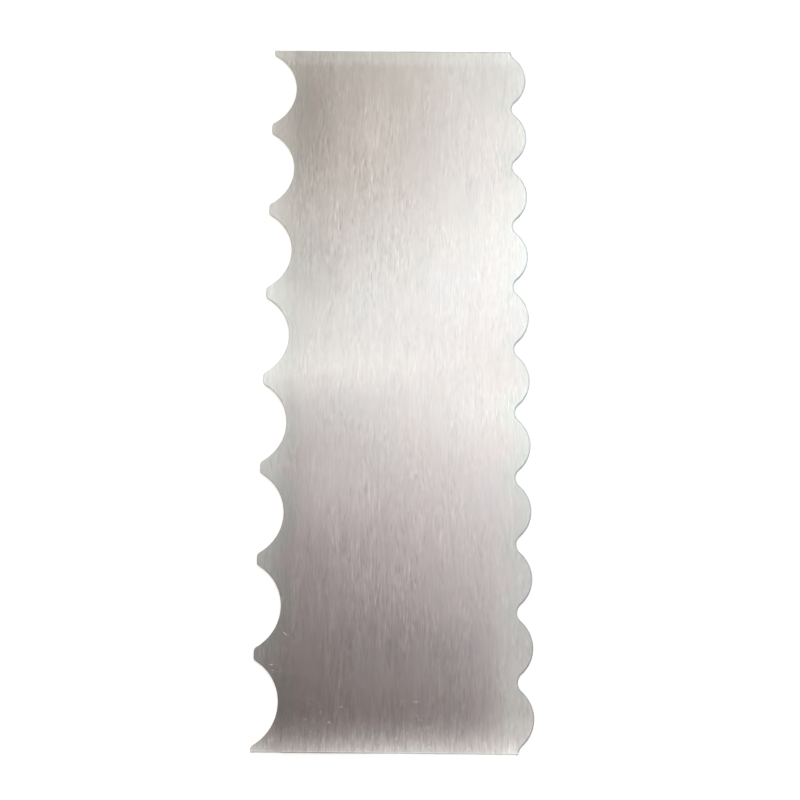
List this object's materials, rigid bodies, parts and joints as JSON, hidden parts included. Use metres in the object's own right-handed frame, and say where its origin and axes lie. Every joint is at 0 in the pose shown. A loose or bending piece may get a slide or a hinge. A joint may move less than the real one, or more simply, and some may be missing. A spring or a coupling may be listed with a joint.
{
  "type": "icing smoother",
  "caption": "Thin flat steel sheet for smoothing and ribbing cake icing, with round scallops along one long edge and rounded waves along the other.",
  "frame": {"origin": "middle of the sheet's outline box, on the lower face", "axes": "+Y along the sheet's length, +X from the scalloped edge to the waved edge, +Z out of the upper face"},
  "size_m": [0.08, 0.225, 0.001],
  "materials": {
    "brushed_steel": "satin, brushed along the sheet's length, with a brighter deburred rim"
  },
  "bodies": {
    "root": {"smoother_plate": "brushed_steel"}
  },
  "joints": []
}
